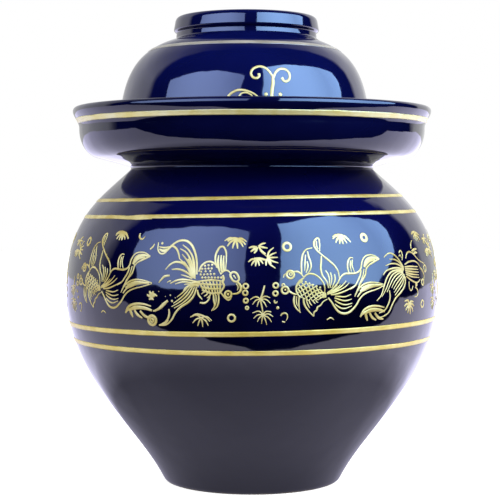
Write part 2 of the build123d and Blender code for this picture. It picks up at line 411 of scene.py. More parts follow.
def surface(*curves):
    """Places up a pot's outside, each its length along the outline, radius, height and outward slope."""
    steps = 60
    line = []
    for curve in curves:
        a, b, c, d = [Vector(point) for point in curve]
        for i in range(steps + 1):
            t = i / steps
            line.append(a * (1 - t) ** 3 + b * 3 * t * (1 - t) ** 2 + c * 3 * t * t * (1 - t) + d * t ** 3)
    line = [p for i, p in enumerate(line) if i == 0 or (p - line[i - 1]).length > film / 10]
    places, length = [], 0
    for i, p in enumerate(line):
        length += (p - line[i - 1]).length if i else 0
        along = line[min(i + 1, len(line) - 1)] - line[max(i - 1, 0)]
        along.normalize()
        places.append((length, p.x, p.y, along.y, -along.x))
    return places


def reading(places, column, value):
    """The place of a surface where a column reaches a value, worked out between its neighbours."""
    i = min(max(bisect_left(places, value, key=lambda place: place[column]), 1), len(places) - 1)
    low, high = places[i - 1], places[i]
    share = (value - low[column]) / (high[column] - low[column])
    return [a + (b - a) * share for a, b in zip(low, high)]


def painted(name, strokes):
    """Brush strokes on a flat sheet, each a width and its points in mm across and up, as low flat ridges."""
    clear_selection()
    bpy.ops.curve.primitive_bezier_curve_add()
    paint = bpy.context.object
    paint.name = paint.data.name = name
    paint.data.splines.clear()
    paint.data.resolution_u = 5
    paint.data.bevel_resolution = 2
    paint.data.bevel_depth = mm / 2
    paint.data.use_fill_caps = True
    paint.data.twist_mode = "Z_UP"
    for width, places in strokes:
        closed = places[0] == places[-1]
        places = places[:-1] if closed else places
        spline = paint.data.splines.new("BEZIER")
        spline.use_cyclic_u = closed
        spline.bezier_points.add(len(places) - 1)
        for i, (point, place) in enumerate(zip(spline.bezier_points, places)):
            point.co = (place[0] * mm, place[1] * mm, 0)
            point.handle_left_type = point.handle_right_type = "AUTO"
            along = i / max(1, len(places) - 1)
            press = 1 if closed else min(1, 0.7 + along) * (1 - 0.55 * along ** 2)
            point.radius = width * (place[2] if len(place) > 2 else press)
    bpy.ops.object.convert(target="MESH")
    for vertex in paint.data.vertices:
        vertex.co.z = film + max(-relief, min(relief, vertex.co.z))
    return paint


def wrapped(paint, places, start, round_radius, centre_x=0, turn=0, lift=0):
    """Lays a flat sheet round a pot: across becomes an angle, and up becomes a length along its outside."""
    for vertex in paint.data.vertices:
        across, up, out = vertex.co
        _, radius, height, out_r, out_z = reading(places, 0, start + up + lift)
        angle = across / round_radius + turn
        reach = radius + out * out_r
        vertex.co = (centre_x + reach * sin(angle), -reach * cos(angle), height + out * out_z)
    clear_selection()
    paint.select_set(True)
    bpy.context.view_layer.objects.active = paint
    bpy.ops.object.mode_set(mode="EDIT")
    bpy.ops.mesh.select_all(action="SELECT")
    bpy.ops.mesh.normals_make_consistent(inside=False)
    bpy.ops.object.mode_set(mode="OBJECT")
    bpy.ops.object.shade_smooth()


def banded(places, height, width, tilt, round_radius, begins, seed, slip=0.0):
    """One brush line all round a pot, tilted up to the right, as a stroke that overlaps its own start."""
    stroke = []
    turns = 60
    for i in range(turns + 3):
        angle = radians(begins) + 2 * pi * i / turns
        level = height
        for _ in range(3):
            place = reading(places, 2, level)
            level = height + place[1] * sin(angle) * tan(radians(tilt))
        wander = noise.noise((3 * cos(angle), 3 * sin(angle), seed))
        press = 1 + 0.16 * noise.noise((9 * cos(angle), 9 * sin(angle), seed + 5))
        if i in (0, turns + 2):
            press = 0.35
        drift = slip * max(0, i - turns + 1) / 3
        stroke.append((angle * round_radius / mm, (place[0] / mm) + 0.16 * wander - drift, press))
    return (width, stroke)


def fired_gold(name, thin, thick):
    """Liquid bright gold, fired to a thin satin film. It is yellower where it is thick, and brushed."""
    material, tree = new_material(name)
    place = add(tree, "TexCoord").outputs["Object"]
    load = add(tree, "TexNoise", {"Vector": place, "Scale": 90.0, "Detail": 3.0, "Roughness": 0.5})
    colour = toned(tree, load.outputs["Fac"], 0.3, thick, 0.7, thin)
    satin = add(tree, "MapRange", {"Value": load.outputs["Fac"], "To Min": 0.28, "To Max": 0.42})
    bristles = add(tree, "Bump", {"Height": load.outputs["Fac"], "Distance": 0.00002})
    shader = add(tree, "BsdfPrincipled", {
        "Base Color": colour, "Metallic": 0.25, "Roughness": satin.outputs[0], "Coat Weight": 0.1,
        "Coat Roughness": 0.15, "Normal": bristles.outputs[0],
    })
    add(tree, "OutputMaterial", {"Surface": shader.outputs[0]})
    return material


gold = fired_gold("fired_gold", "#ECDE94", "#C9B252")
# The next two are lighter, yellower copies of the gold for the lines that face down, on the trough and below
# the fish: painted light.
lit_deep_gold = fired_gold("fired_gold_lit_deep", "#F6E488", "#DEC650")
lit_pale_gold = fired_gold("fired_gold_pale", "#FFFAC4", "#F2E486")
# A greyer gold, for the line on the cover.
grey_gold = fired_gold("fired_gold_grey", "#B2AFA6", "#949188")
jar_outside = surface(
    (foot_point, foot_handle, belly_low_handle, belly_point),
    (belly_point, belly_high_handle, shoulder_handle, seam_point),
)
lip_outside = surface((waist_point, flare_low_handle, flare_high_handle, lip_point))
cover_outside = surface((rim_point, cover_upright_handle, crown_handle, crown_point))
# name, surface, round radius, centre, node, body, finish,
# and for each line its height, width, tilt, the bearing where it begins, and how far its end slips down
lines = [
    ("gold_line_on_trough", lip_outside, lip_radius, 0, "gilt_band_trough", "jar", lit_pale_gold,
     [(0.23173, 3.6, 0, 150, 0)]),
    ("gold_lines_above_fish", jar_outside, belly_radius, 0, "gilt_bands_shoulder", "jar", gold,
     [(0.1828, 2.8, 1.0, 200, 0.4), (0.1727, 2.7, 1.0, -45, 1.3)]),
    ("gold_lines_below_fish", jar_outside, belly_radius, 0, "gilt_bands_belly", "jar", lit_deep_gold,
     [(0.1050, 3.0, 0.86, 170, 0.5), (0.0936, 3.1, 0.35, 215, 0.4)]),
    ("gold_line_on_cover", cover_outside, rim_radius, cover_centre[0], "gilt_band_cover", "cover", grey_gold,
     [(0.2772, 3.8, 0, 160, 0.1)]),
]
for seed, (name, outside, radius, centre_x, node, body, finish, levels) in enumerate(lines):
    strokes = [
        banded(outside, height, width, tilt, radius, begins, seed + i / 3, slip)
        for i, (height, width, tilt, begins, slip) in enumerate(levels)
    ]
    line = painted(name, strokes)
    wrapped(line, outside, 0, radius, centre_x)
    finished(line, finish, body, "fired_gold", node)

# Goldfish frieze. Veil-tailed goldfish swim round the belly among weed and bubbles, a common subject on
# such jars. They are drawn freehand in liquid gold with a fine liner brush and fired with the lines.
# A stroke is its width and its places in mm, across from the front and up from the widest level.


def dot(across, up, size):
    """One touch of the brush."""
    return (size, [(across - 0.4 * size, up, 0.5), (across, up, 1), (across + 0.4 * size, up, 0.5)])


def dots(start, end, count, size):
    """A row of touches between two places."""
    line = [Vector(start).lerp(Vector(end), i / (count - 1)) for i in range(count)]
    return [dot(place.x, place.y, size) for place in line]


def ring(across, up, radius, width):
    """A ring in one stroke that closes on itself."""
    around = [(across + radius * cos(a), up + radius * sin(a)) for a in (0, pi / 2, pi, 3 * pi / 2)]
    return (width, around + around[:1])


def fan(across, up, reach, facing, spread, leaves, width):
    """Leaves that spread from one place, each a stroke that bends towards the way that the fan faces."""
    strokes = []
    for i in range(leaves):
        turn = radians(spread) * (i / (leaves - 1) - 0.5)
        bend, end = radians(facing) + 1.3 * turn, radians(facing) + turn
        size = reach * (1 + 0.12 * cos(5 * i))
        strokes.append((width, [
            (across, up),
            (across + 0.5 * size * cos(bend), up + 0.5 * size * sin(bend)),
            (across + size * cos(end), up + size * sin(end)),
        ]))
    return strokes


def along(line, share):
    """The place at a share of the way through a list of places."""
    way = min(max(share, 0), 1) * (len(line) - 1)
    i = min(int(way), len(line) - 2)
    return Vector(line[i]).lerp(Vector(line[i + 1]), way - i)


def rows(top, bottom, count, width):
    """Strokes along a body, evenly spread between two curves."""
    levels = [(i + 1) / (count + 1) for i in range(count)]
    shares = [p / 5 for p in range(6)]
    return [(width, [along(top, s).lerp(along(bottom, s), level) for s in shares]) for level in levels]


def slanted(top, bottom, spacing, slant, width):
    """Strokes across a body, each moved along by a slant from one curve to the other, cut off at its ends."""
    strokes = []
    share = spacing / 2 - max(slant, 0)
    while share < 1 - min(slant, 0):
        first = max(0, -share / slant) if slant > 0 else max(0, (1 - share) / slant)
        last = min(1, (1 - share) / slant) if slant > 0 else min(1, -share / slant)
        if last - first > 0.1:
            levels = [first + (last - first) * i / 3 for i in range(4)]
            strokes.append((width, [
                along(top, share + slant * t).lerp(along(bottom, share + slant * t), t) for t in levels
            ]))
        share += spacing
    return strokes


swims_right = [
    # back, breast and scales
    (1.3, [(-31.2, 18.6), (-29.4, 22.3), (-25, 24.5), (-21.2, 22.5), (-18.2, 17.4)]),
    (1.5, [(-17, 16.8), (-16.4, 14.6), (-17, 12.7), (-16.2, 10.6), (-17.1, 8.6), (-18.4, 6.6)]),
    *dots((-27.6, 22), (-23.4, 22.7), 3, 1.5), *dots((-29.2, 20.2), (-23.6, 20.5), 4, 1.5),
    *dots((-29.8, 18.6), (-24.4, 18.9), 3, 1.4), *dots((-30, 16.9), (-22, 17.3), 5, 1.5),
    *dots((-29, 15.2), (-17.8, 15.3), 7, 1.6),
    (1.4, [(-31.8, 12.9), (-24, 13.8), (-17, 13.4)]),
    *rows([(-31, 13.4), (-24, 13.8), (-17, 13.4)], [(-28.4, 6.4), (-22.4, 3.6), (-18.4, 5)], 3, 1.3),
    *slanted([(-31, 13), (-24, 13.6), (-17, 13)], [(-28.4, 7), (-22.4, 4.4), (-18.4, 6)], 0.15, 0.08, 1.2),
    # fin on the back, washed in at its root
    (1.3, [(-20.6, 21), (-21.7, 26), (-20.8, 30.4), (-18, 33.4), (-15.9, 31.4), (-15.2, 26.6),
           (-15.4, 19.6)]),
    (1.6, [(-18.9, 19), (-20, 23), (-19.8, 28.2)]), (1.6, [(-17.5, 18.6), (-18.3, 23), (-18.2, 28.3)]),
    (1.6, [(-16.3, 19.3), (-16.8, 23), (-16.7, 28)]),
    # eyes that stand out, and the snout between them
    (1.1, [(-18.4, 17.2), (-15.6, 19.4), (-13.6, 19), (-12.3, 17.2)]),
    (1.2, [(-12.4, 17.6), (-10.2, 18.5), (-8.1, 16.3), (-7.9, 13.8), (-9.8, 13.1), (-12.1, 15.2),
           (-12.4, 17.6)]),
    (1.3, [(-10.8, 16.7), (-9.4, 14.9)]),
    (1.7, [(-8.9, 13.2), (-6.8, 10.7), (-6.5, 8.5), (-8, 6.7), (-11.2, 6)]),
    (0.8, [(-9.2, 12), (-8.1, 9.9), (-8.5, 8.2)]),
    ring(-13.8, 5.8, 1.9, 1.2), dot(-13.8, 5.9, 1.6),
    (1.1, [(-18, 6.8), (-15.4, 3.8), (-13.4, 2.6), (-11.6, 4.8)]),
    # breast and belly fins
    (1, [(-26.6, 8.6), (-28.2, 6.8), (-29.4, 5.8)]), (1, [(-25, 7.4), (-26.4, 5.4), (-27.8, 4.6)]),
    (0.9, [(-23.8, 6), (-25, 4.4), (-26, 3.6)]),
    (1.3, [(-31.8, 8.2), (-31, 5.3), (-28.8, 2.8)]),
    (1.2, [(-30.2, 0.9), (-27.4, 0.8), (-25, 2.8), (-24.2, 5.6)]),
    (1.2, [(-22.3, 6.4), (-22, 2.4), (-21.6, -0.8), (-23.4, -3.7)]),
    (1.2, [(-19.4, 6.4), (-19.2, 2.8), (-20, -1), (-22.4, -3.4)]),
    (0.9, [(-20.8, 5.4), (-20.7, 2.4), (-20.9, -0.6)]),
    # upper veil of the tail, with a curled tip
    (1.5, [(-32.3, 17), (-32.9, 25), (-35, 31.3), (-38.5, 35.6), (-43, 36.9), (-48, 35.1), (-51.4, 31.6),
           (-55.3, 28.6), (-58.4, 30.4), (-59.2, 35.4)]),
    (1.5, [(-50.5, 33.7), (-47.5, 32.7), (-45.3, 30.4), (-43.5, 25.6)]),
    (1.3, [(-50.6, 32.9), (-54.5, 32.3), (-58.2, 32.8)]), (2.2, [(-51.6, 31.4), (-55, 30.4), (-57.8, 31.4)]),
    (1.3, [(-33.4, 17), (-34.9, 25.5), (-38.2, 31), (-42.4, 34.1)]),
    (1.3, [(-34.4, 17), (-36.6, 25), (-39.8, 29.6), (-43.8, 31.8)]),
    (1.3, [(-35.2, 17.5), (-37.8, 23.6), (-42.2, 28.6)]), (1.4, [(-35.8, 17), (-39.3, 22.2), (-43.2, 25.6)]),
    (1.8, [(-33.6, 14.5), (-34, 20), (-35.6, 27)]), (1.8, [(-34.6, 15), (-36, 20), (-38.2, 26)]),
    (1.8, [(-35.4, 15.5), (-37.4, 19.8), (-40.6, 24.2)]),
    # lobes behind
    (1.5, [(-35.6, 16.5), (-39.5, 22), (-44.5, 24), (-48.6, 23), (-52.2, 19.5)]),
    (1.4, [(-35.2, 15.6), (-40, 18.8), (-44, 19.8), (-48, 19.6)]),
    (1.1, [(-35, 14.6), (-38.6, 15.8), (-42, 16.7)]),
    (1.4, [(-33, 13), (-41, 13.9), (-45, 13.2), (-48.6, 11.5)]),
    (1.1, [(-34, 12), (-41, 12.5), (-45.4, 11.3)]),
    (1, [(-35, 11), (-37.4, 11.4), (-39.8, 11.1)]), (0.9, [(-48.2, 13), (-49.4, 12.8), (-50.6, 12)]),
    (1.5, [(-49.2, 16.1), (-52.6, 15.4), (-54.4, 13.8), (-56.2, 11.8)]),
    (2.6, [(-30.4, 11.6), (-33, 12.4), (-36, 11.2)]), (1.8, [(-31, 10.4), (-33.4, 10.8), (-36, 9.6)]),
    # lower veil, trailing down
    (1.4, [(-32.2, 9.8), (-33.8, 5), (-37, 1.2), (-42, -2), (-45.2, -5.2), (-48, -9.6), (-51.8, -12.5),
           (-56.2, -13)]),
    (1.1, [(-33.4, 9.8), (-35.8, 5), (-40, 0.9), (-46, -2.6)]),
    (1.1, [(-34.6, 9.8), (-38, 4.8), (-42, 1.4), (-47.6, -1.8)]),
    (1, [(-35.8, 10), (-39.6, 5.4), (-43.4, 2.2), (-46.4, 0.2)]),
    (1, [(-37, 10), (-40.8, 6.4), (-44.2, 3.8)]),
    (1.4, [(-34.6, 11), (-38.4, 9.6), (-40.6, 6.6)]),
    (1.4, [(-49.3, -3.2), (-49.3, -6.6), (-51, -10), (-54, -12), (-56.4, -12.8)]),
    (1.5, [(-50, -9.6), (-52, -11.6), (-55.6, -12.9)]),
    (2, [(-50, 1.6), (-53.2, -0.9), (-56.2, -3.4), (-59.8, -4.8)]),
    (1.2, [(-51, 0.2), (-54.6, -2.8), (-58.6, -4.9)]),
    dot(-47.3, 1.5, 1.5), dot(-48.4, 4.8, 1), dot(-51.5, 4, 0.6), dot(-45.2, 3.4, 0.7), dot(-56, 6.7, 0.7),
    # weed and bubbles round it
    *fan(-10, 37.4, 6, 268, 165, 6, 1.5),
    (1.7, [(-14.8, 36.6), (-12.4, 38.1), (-9, 38.1), (-5.6, 36.2), (-4, 34.4)]),
    *fan(-29.6, -7.8, 5.8, 262, 170, 6, 1.1),
    (1.3, [(-34.9, -7), (-33, -6), (-29, -6.4), (-26.2, -7.9), (-24.4, -9.8)]),
    ring(-11.9, -7.7, 2, 1.2), ring(-3.8, 10.5, 1.4, 1.1), ring(-4, 6.7, 1.3, 1.1), ring(-3.7, 2.3, 1.2, 1.1),
    ring(-3, -1.8, 0.8, 0.9),
    (1.4, [(-74.8, 40.8), (-74.2, 38.4), (-72, 37.2), (-70, 38.8)]),
    (1.4, [(-64.4, 31.2), (-62.8, 32.6), (-61.7, 34.5)]),
    dot(-56.4, 34.9, 1.8),
    ring(-60.8, -10.2, 2.7, 1.7), ring(-60.8, -10.2, 1.1, 1), dot(-60.4, -10, 1.2),
    *fan(-61, 4.6, 2.8, 90, 300, 6, 2), (1.6, [(-61.5, 4.4), (-59, 4.9), (-57, 4)]),
]

net_top = [(26.4, 13), (33, 11.8), (38, 9.6), (43.4, 5.6)]
net_bottom = [(25.6, 5.2), (30.6, 2.2), (36, 1.6), (43.4, 4)]
swims_left = [
    # head, eyes on stalks, back
    ring(22, 17, 2.2, 1.3), ring(22.2, 17.3, 0.8, 0.8), (0.9, [(17.9, 15.4), (18.4, 16.8), (19.8, 17.8)]),
    (1.2, [(24, 18.7), (26.4, 18.6), (28.4, 17.2), (30, 15.3)]),
    ring(18.8, 8.2, 2, 1.2), (1.1, [(16.9, 10.4), (17.6, 11.8), (18.9, 11)]), dot(18.9, 8.4, 1.3),
    (1.2, [(20.3, 8.6), (22, 7), (24, 6), (26.2, 5.7)]),
    (1.2, [(29.8, 15.2), (32, 17), (35, 17.3), (38, 16), (40.7, 13.5), (42.4, 10), (42.5, 6.5)]),
    (1.4, [(30, 15), (27.8, 13.6), (26.4, 12), (25.2, 9), (26.2, 5.6), (28.4, 3.8)]),
    *slanted(net_top, net_bottom, 0.17, 0.5, 0.95), *slanted(net_top, net_bottom, 0.17, -0.5, 0.95),
    dot(28.6, 13.2, 1.6), *dots((31, 12.6), (39.6, 9.4), 5, 1.4),
    # fins on the back: a leaf, and a tall loop with rays under it
    (1.3, [(28.7, 17.4), (28.7, 22), (29.2, 25.8), (30.4, 29.4), (32.6, 31.6), (36.2, 32.4)]),
    (1.2, [(33, 30.4), (33.5, 27), (34.5, 24), (34.4, 20.6), (32, 17)]),
    (1.1, [(31.6, 28.4), (31, 24), (30.6, 19)]),
    (1.3, [(32.3, 24.5), (32.6, 21.5), (31.4, 18)]),
    (1.3, [(41.5, 27.6), (41, 24), (40.5, 20), (41.5, 16), (44, 12.5), (44.8, 9)]),
    (1.4, [(41.4, 28.6), (39, 31), (37.5, 34.4), (38.9, 37.5), (40.8, 38.2), (41.2, 36), (40.7, 30.4)]),
    (1.2, [(39.4, 36.6), (39.1, 34), (39.8, 31.6)]),
    (1.3, [(41.2, 28.8), (44, 26.5), (47.5, 23.6), (50, 21), (51.6, 18), (52, 14.6)]),
    (1.1, [(43.4, 19.2), (45.2, 16), (45.4, 10)]), (1.1, [(46.4, 18), (47.1, 14.6), (45.8, 9)]),
    (1.1, [(49, 17), (49.2, 13.6), (47, 9)]), (1.1, [(50.8, 11.6), (49.4, 10.2), (47.4, 8.4)]),
    # tail: the upper veil ends in a leaf
    (1.3, [(50.9, 11.6), (53, 15), (55.6, 16.8), (59, 17), (64, 17.3), (67, 19.3), (68.6, 23.4), (71, 26.4),
           (75, 27.6), (79, 27), (82.6, 25)]),
    (1.3, [(82.4, 25), (78, 23.4), (73, 21), (71, 18.6)]),
    (2.6, [(70, 20.5), (72, 24), (76, 25.8), (81.4, 25.2)]), (2.2, [(70.6, 21), (73.6, 23.6), (78.6, 24.6)]),
    (1.3, [(67.5, 19), (66.4, 15.6), (64.5, 12.5), (62.4, 9.8), (58.8, 7.8)]),
    (1.3, [(71.5, 20.4), (70, 15.5), (67, 12), (64.4, 8), (62.1, 3.6)]),
    (1.1, [(69.6, 19.4), (68, 14.6), (65.4, 10.6)]),
    (1.3, [(58.7, 17.2), (58.1, 21), (59, 24.5), (60.7, 26.2), (62.5, 26)]),
    (1.2, [(61.9, 25), (61.3, 22), (62.6, 17.6)]),
    (1.1, [(60.4, 24.6), (60, 21), (60.4, 18)]),
    # tail: rays from its root, and the shell-shaped lower veil that runs into a second leaf
    (1.1, [(44, 5.4), (47, 6.6), (51, 8.4), (54, 10.4), (56.6, 12.9)]),
    (1, [(46, 5.6), (49.6, 6.8), (55, 9), (58.6, 11.6)]),
    (1.1, [(46.4, 5), (51, 5.6), (57, 7.5), (62.4, 10)]),
    (1, [(44, 6.2), (47, 8), (50.6, 10.6)]), (1, [(45, 6.2), (48.8, 8), (52.6, 10.6)]),
    (1, [(49, 4.2), (52, 3.9), (55.5, 3.7), (59.6, 5)]),
    (1, [(48.6, 3.2), (51.6, 2.2), (55.6, 1.4), (60, 2.2)]),
    (1, [(48.8, 1.8), (51.4, 0.3), (55.2, -0.9), (60.2, -0.2)]),
    (1, [(49, -0.4), (51, -1.9), (54.4, -3.1), (60, -1.8)]),
    (1.4, [(44.6, 3.4), (47, 0.5), (49, -2.4), (51.5, -4.9), (55, -6), (58, -5.5), (61, -3.5), (63.5, -0.9),
           (65.5, 2), (68.5, 4.5), (72.5, 6), (78, 7.2), (85, 9.4)]),
    (1.3, [(62.6, 4.6), (64.6, 7.6), (67.4, 9.8), (71.5, 11.2), (78, 11.2), (85, 9.8)]),
    (2.6, [(66, 6.4), (70, 8), (76, 9.4), (83, 9.6)]), (2.2, [(67, 8), (72, 9.6), (79, 10)]),
    (1.2, [(64, 3.4), (66.6, 6), (70, 7.4)]),
    # fins under the body
    (1.3, [(24.2, 5), (23.8, 2), (24.8, -1.5), (27.8, -4.7)]), (1.1, [(27, 4.4), (26.7, 0), (27.4, -4)]),
    (0.9, [(25.5, 4.6), (25.3, 1.4), (26, -1)]),
    (1.3, [(29.4, 3.8), (30, 0), (32, -3.2), (35.7, -7.1)]),
    (1.1, [(35.7, -6.6), (36, -4.6), (37.4, -3.6), (38, -1.8), (39.8, -0.8), (41.4, 1.2), (44, 2.6)]),
    (0.9, [(31, 3), (32, 0), (33.3, -2.2)]), (0.9, [(32.7, 2.6), (33.4, 0.6), (34.6, -0.8)]),
    (0.9, [(35, 2.4), (35.6, 1.2), (36.6, 0.2)]), (0.9, [(36.8, 2.4), (37.4, 1.4), (38.2, 0.8)]),
    # weed and bubbles round it
    *fan(3.6, 33.4, 5.4, 350, 70, 3, 1.5), *fan(2.8, 33, 4.4, 215, 60, 3, 1.7),
    (1.1, [(4.6, 31), (6.4, 29.4), (8.4, 27.6)]),
    *fan(8.8, 26.8, 6.8, 2, 110, 5, 1.3), *fan(8.6, 26.2, 3.6, 285, 50, 2, 1.5),
    (2, [(1, 26.2), (4.4, 26.2), (8.4, 25.4)]),
    *fan(2.4, 25.8, 4.4, 262, 130, 5, 1.4),
    (1.2, [(7, 10.9), (6, 7), (4.8, 2.6), (5.4, -1), (6.2, -5.4)]), *fan(4.8, 3.2, 5.4, 275, 185, 7, 0.9),
    *fan(6.2, -6, 5.6, 275, 215, 8, 0.9), dot(14.5, -1.8, 2),
    ring(13.4, 10.9, 1.4, 1.1), ring(13.2, 6.4, 1.3, 1.1), (1.2, [(12.5, 2.6), (13, 1.1), (14.4, 1.7)]),
    ring(20.7, 33.2, 2.3, 1.6), *fan(56, 39, 5.2, 268, 150, 6, 1.8),
    (2, [(50.6, 38.6), (53, 39.8), (57, 39.8), (60.4, 38), (62.6, 35.6)]),
    (1, [(44, -9.3), (46.2, -8.2), (48.4, -9.3)]),
    (1, [(16.2, -6.4), (17.4, -5.1), (19.5, -5.2), (20.2, -7.2), (19.4, -9.2)]),
    (1, [(17.1, -9.6), (18.5, -10), (19, -9.8)]),
    (1.7, [(66.4, -8.2), (68.6, -4.8), (73, -2.8), (79, -2.6), (84.4, -3.6)]),
    (2.7, [(69, -6.4), (74, -4.8), (80, -4.9), (85, -6)]),
    (2.2, [(69.8, -6), (70.6, -8.4), (71.6, -10.8)]), (2, [(73, -6.4), (75, -9), (78.4, -10.9)]),
    (2, [(77, -6.6), (80.4, -9.6), (84.2, -10.6)]), (1.6, [(66.2, -8.4), (68, -6.6), (70, -6)]),
]

dives_right = [
    # tail: fine rays that sweep back and down
    (1.2, [(104, 19.4), (99.4, 24.8), (95.6, 27.4), (92, 28.2), (89.2, 27.3), (86.6, 25.8)]),
    (1.1, [(104, 18.8), (98.8, 23.2), (95, 24.4), (91.2, 24.6)]),
    (1.1, [(104, 18.4), (98.6, 21.2), (92, 21.8), (87.2, 20.8)]),
    (1.3, [(104, 18), (98.6, 19.1), (91.4, 18.8), (87, 17.6), (84.2, 15.4)]),
    (1.3, [(103.6, 17.6), (96, 17.8), (91, 16.6), (87, 13.2), (84.2, 8), (81.8, 3.4), (78.4, 0.5)]),
    (1.1, [(103, 17.2), (96, 16.6), (91.6, 14.6), (88.6, 11), (86, 7), (82.4, 2.6)]),
    (1, [(103, 16.6), (97, 15.4), (93, 13), (90, 9.6), (86.8, 5.2)]),
    (1, [(103, 16), (98.4, 14), (94.6, 11.6), (91, 7.6)]),
    (1, [(103.4, 15.4), (99.6, 12.6), (96, 10), (92.6, 6.6)]),
    (1, [(104, 15), (100.8, 11.2), (97, 8.2), (93, 4.6)]),
    (1, [(104.4, 14.2), (101.8, 9.8), (98.2, 6.6), (93.8, 3)]),
    (1.3, [(105, 13.6), (103.8, 8.6), (100, 4.9), (94.4, 1.2), (91.4, -2.4), (88.6, -6.6), (84.6, -8.8),
           (79, -9.6)]),
    (1.2, [(89, 6.2), (89.4, 2), (87.2, -3), (84.2, -5.8), (80.4, -6.8)]),
    (1.2, [(101.6, 28), (103.6, 29.4), (104.8, 27.2), (103.4, 23.6)]),
    (1, [(100.8, 26), (102.4, 26.8), (103.2, 25)]),
    # long scales, back and fins
    *rows([(105, 20.6), (112, 21.2), (121, 20.6)], [(106, 14), (113, 11.6), (121.6, 10.8)], 5, 1.2),
    (1.2, [(105.6, 21), (112, 22.6), (121, 21.6), (124, 19)]),
    (1.2, [(106, 13.8), (112, 11), (119, 9.6), (123, 11.4)]),
    (1.2, [(107.8, 24.6), (110, 27.4), (113.6, 28.5), (117.2, 27.4), (121, 24.8), (125, 22.6),
           (131.6, 20.6)]),
    (2, [(117, 28.6), (120, 29.6), (124, 30)]), (2, [(118, 26.8), (121, 27.8), (123.6, 27.6)]),
    (1.2, [(116.6, 30.4), (118, 33.4), (120.6, 35.4)]),
    (1.1, [(108.6, 10.6), (108.8, 6.4), (110.8, 5.2), (113, 7.8)]),
    (1.2, [(115.6, 7), (118.6, 4.8), (118.4, 2), (114.4, 1)]), dot(117.2, 8.4, 3.2),
    (1.2, [(124, 18.6), (127, 16.6), (129, 13.4), (128, 10)]), ring(126.4, 9.4, 1.7, 1.1),
    ring(132, 17.6, 2, 1.1),
    # weed and bubbles round it
    *fan(108.6, -3.6, 5.4, 268, 230, 8, 1.7), ring(125.5, -3.8, 2.1, 1.2),
    *fan(129.6, 39.6, 5.6, 265, 165, 6, 1.5),
    (1.7, [(125.4, 39.6), (129, 41), (134, 38.8)]), ring(73.5, 38.2, 2.1, 2),
]

widest = reading(jar_outside, 2, belly_height)[0]
# A drawing that is moved comes again freehand, so its places waver a little, over lengths of this many mm.
waver_length = 15
# drawing, and how far it is moved across and up
frieze = [
    (swims_right, 0, 0), (swims_left, 0, 0), (dives_right, 0, 0), (swims_left, -146, 1.8),
    (swims_left, 140, 3), (swims_right, 302, 1), (swims_left, 292, 1.5), (dives_right, 310, 0),
    (swims_left, 437, -0.5), (swims_right, 594, 1),
]
for i, (drawing, across, up) in enumerate(frieze):
    waver = 0 if across == 0 else 0.9
    strokes = []
    for width, places in drawing:
        loose = []
        for x, y, *press in places:
            here = (x / waver_length, y / waver_length)
            sideways, upward = noise.noise((*here, i)), noise.noise((*here, -i))
            loose.append((x + waver * sideways, y + waver * upward, *press))
        strokes.append((width, loose))
    fish = painted(f"goldfish_{i + 1}", strokes)
    wrapped(fish, jar_outside, widest, belly_radius, turn=across * mm / belly_radius, lift=up * mm)
    finished(fish, gold, "jar", "fired_gold")

# Scroll on the cover. A sprig with two curled tendrils stands over a low arch, three times round the bowl.
# It is fired gold as well, drawn with a fuller brush.
scroll_foot = reading(cover_outside, 2, 0.243)[0]
sprig = [
    (2.2, [(16.2, -9, 0.6), (16.8, -3, 0.9), (17.2, 3, 1), (18.2, 8.6, 1), (18.4, 13.4, 0.8)]),
    (1.6, [(18.2, 12.4, 0.8), (15.2, 16.8, 1), (11.7, 18.7, 1), (7.5, 18.2, 1), (4.7, 15.7, 1),
           (4.7, 12.9, 1), (6.9, 11.2, 1), (9.3, 12.1, 1), (9.4, 14.2, 1.2)]),
    (1.6, [(18.8, 11.6, 0.8), (21, 15.7, 1), (25, 17.6, 1), (28.6, 16.2, 1), (29.7, 12.9, 1), (27.9, 9.8, 1),
           (25.6, 9.6, 1), (24.2, 11.8, 1.2)]),
    (1.7, [(-12, -4), (-9.4, 0.4), (-5.8, 3), (-2.4, 3.8), (1.8, 3.2), (7.6, 0.3), (11, -4)]),
    (1.2, [(-4, -1), (-0.8, 2), (3.6, 1.2), (6, -1.4)]),
    dot(13.4, 1.2, 2.6), dot(22.4, 1.2, 2.8),
]
for i in range(3):
    scroll = painted(f"cover_scroll_{i + 1}", sprig)
    wrapped(scroll, cover_outside, scroll_foot, rim_radius, cover_centre[0], turn=2 * pi * i / 3)
    finished(scroll, gold, "cover", "fired_gold")

# Stage. The jar stands on a white paper sheet under an open white studio. Two wide cards, hung high in front
# to the left and to the right, are seen only as reflections in the glaze.
sheet_edge = [
    (-1.916, -0.358), (-0.241, -0.255), (-0.122, -0.277), (-0.038, -0.254), (0.036, -0.233),
    (0.127, -0.228), (0.260, -0.199), (0.512, -0.097), (1.683, 0.206),
]
sheet_depth = 4.0
floor_mesh = bpy.data.meshes.new("paper_sheet")
sheet_back = [(sheet_depth, sheet_depth), (-sheet_depth, sheet_depth)]
corners = [(x, y, 0) for x, y in sheet_edge + sheet_back]
floor_mesh.from_pydata(corners, [], [tuple(range(len(corners)))])
floor = bpy.data.objects.new("paper_sheet", floor_mesh)
bpy.context.collection.objects.link(floor)

paper, tree = new_material("white_paper")
path = add(tree, "LightPath").outputs
